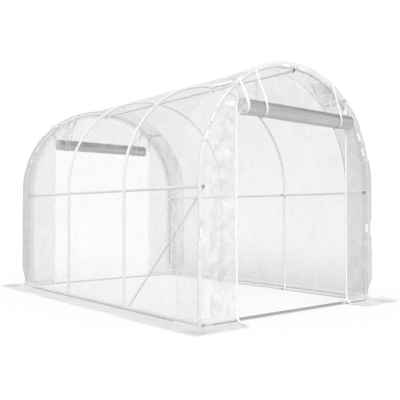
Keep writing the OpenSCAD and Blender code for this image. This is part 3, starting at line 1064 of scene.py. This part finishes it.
def bolt_parts(middle_of_tube, inward):
    """A washer, a six-sided nut and the bolt's end, on the inner side of a tube."""
    up = np.cross(inward, Y_AXIS)
    base = middle_of_tube + inward * (TUBE_R - 0.0035)
    shapes = [([0, 0.0045, 0.0052], [0.0085, 0.0085, 0.0078], 20),
              ([0.005, 0.0105, 0.0115], [0.0062, 0.0062, 0.005], 6),
              ([0.01, 0.0175, 0.0182], [0.003, 0.003, 0.0022], 12)]
    return [round_solid(straight(base, inward, steps), Y_AXIS, up, radii, count)
            for steps, radii, count in shapes]


def crossing_bolts():
    """A carriage bolt through each crossing of an arch with a rail or purlin: nut and washer inside."""
    parts = []
    for y in ARCH_Y:
        for side in (-1, 1):
            for z in (TUBE_R, PURLIN_Z):
                parts += bolt_parts(np.array([side * RAIL_X, y, z]), -side * X_AXIS)
        parts += bolt_parts(np.array([0, y, RIDGE_Z]), -Z_AXIS)
    solid_piece("crossing_bolts", parts, ZINC)


def paint_tubes():
    """The CAD's tubes keep their shapes and get the powder coat; the front sill's coat has painted shade
    across the doorway.
    """
    for name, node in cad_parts.items():
        if name.startswith(TUBES):
            finish = FRONT_SILL_PAINTED_SHADE if name == "sill_front" else TUBE
            if not node.material_slots:
                node.data.materials.append(finish)
            for material_slot in node.material_slots:
                material_slot.material = finish


# ---- stage

def seen_directly(nodes, strength):
    """A strength for rays from the camera, from gloss and through glass, and 0 for all others."""
    rays = nodes.add("LightPath", {}).outputs
    seen = nodes.maths("MAXIMUM", rays["Is Camera Ray"], rays["Is Glossy Ray"])
    return nodes.maths("MULTIPLY", nodes.maths("MAXIMUM", seen, rays["Is Transmission Ray"]), strength)


def emptied_nodes(owner):
    """The node tree of a material or world, with nothing in it yet."""
    owner.use_nodes = True
    owner.node_tree.nodes.clear()
    return Nodes(owner.node_tree)


def stage_floor():
    """A wide plain floor that shows as white and still takes a soft shadow."""
    reach = 40
    mesh = bpy.data.meshes.new("studio_floor")
    mesh.from_pydata([(-reach, -reach, 0), (reach, -reach, 0), (reach, reach, 0), (-reach, reach, 0)], [],
                     [(0, 1, 2, 3)])
    floor = add_object("studio_floor", mesh)
    material = bpy.data.materials.new("studio_floor")
    nodes = emptied_nodes(material)
    diffuse = nodes.add("BsdfDiffuse", {"Color": rgba(0.5)})
    glow = nodes.add("Emission", {"Strength": seen_directly(nodes, 0.485)})
    both = nodes.add("AddShader", {0: diffuse.outputs[0], 1: glow.outputs[0]})
    nodes.add("OutputMaterial", {0: both.outputs[0]})
    mesh.materials.append(material)


def stage_light():
    """An even white sky that lights softly, and one broad lamp from the upper left."""
    world = bpy.data.worlds.new("studio")
    bpy.context.scene.world = world
    nodes = emptied_nodes(world)
    level = 0.88
    strength = nodes.maths("ADD", seen_directly(nodes, 1 - level), level)
    sky = nodes.add("Background", {"Color": rgba(1), "Strength": strength})
    nodes.add("OutputWorld", {0: sky.outputs[0]})
    lamp = bpy.data.lights.new("key", "SUN")
    lamp.energy = 1.25
    lamp.angle = radians(50)
    key = add_object("key", lamp)
    key.rotation_euler = Vector((0.5, 0.75, -0.43)).to_track_quat("-Z", "Y").to_euler()


def stage_camera():
    """The photograph's viewing angle."""
    lens = bpy.data.cameras.new("camera")
    lens.lens = 52.37
    lens.sensor_width = 36
    camera = add_object("camera", lens)
    camera.location = (-3.5886, -4.6447, 0.8036)
    yaw, pitch = radians(39.54), radians(1.25)
    aim = Vector((sin(yaw) * cos(pitch), cos(yaw) * cos(pitch), sin(pitch)))
    camera.rotation_euler = aim.to_track_quat("-Z", "Y").to_euler()
    bpy.context.scene.camera = camera


stage_camera()
stage_light()
stage_floor()
paint_tubes()
cover()
for end_name in ENDS:
    band(end_name)
    gable(end_name)
    door_roll(end_name)
    roll_edges(end_name)
    straps(end_name)
    zips(end_name)
    seams(end_name)
    clips(end_name)
    for side_name in SIDES:
        side_panel(end_name, side_name)
        corner_flap(end_name, side_name)
for side_name in SIDES:
    skirt(side_name)
    roof_patch(side_name)
caps()
collars()
crossing_bolts()

scene = bpy.context.scene
scene.view_settings.view_transform = "Standard"
scene.cycles.transparent_max_bounces = 40
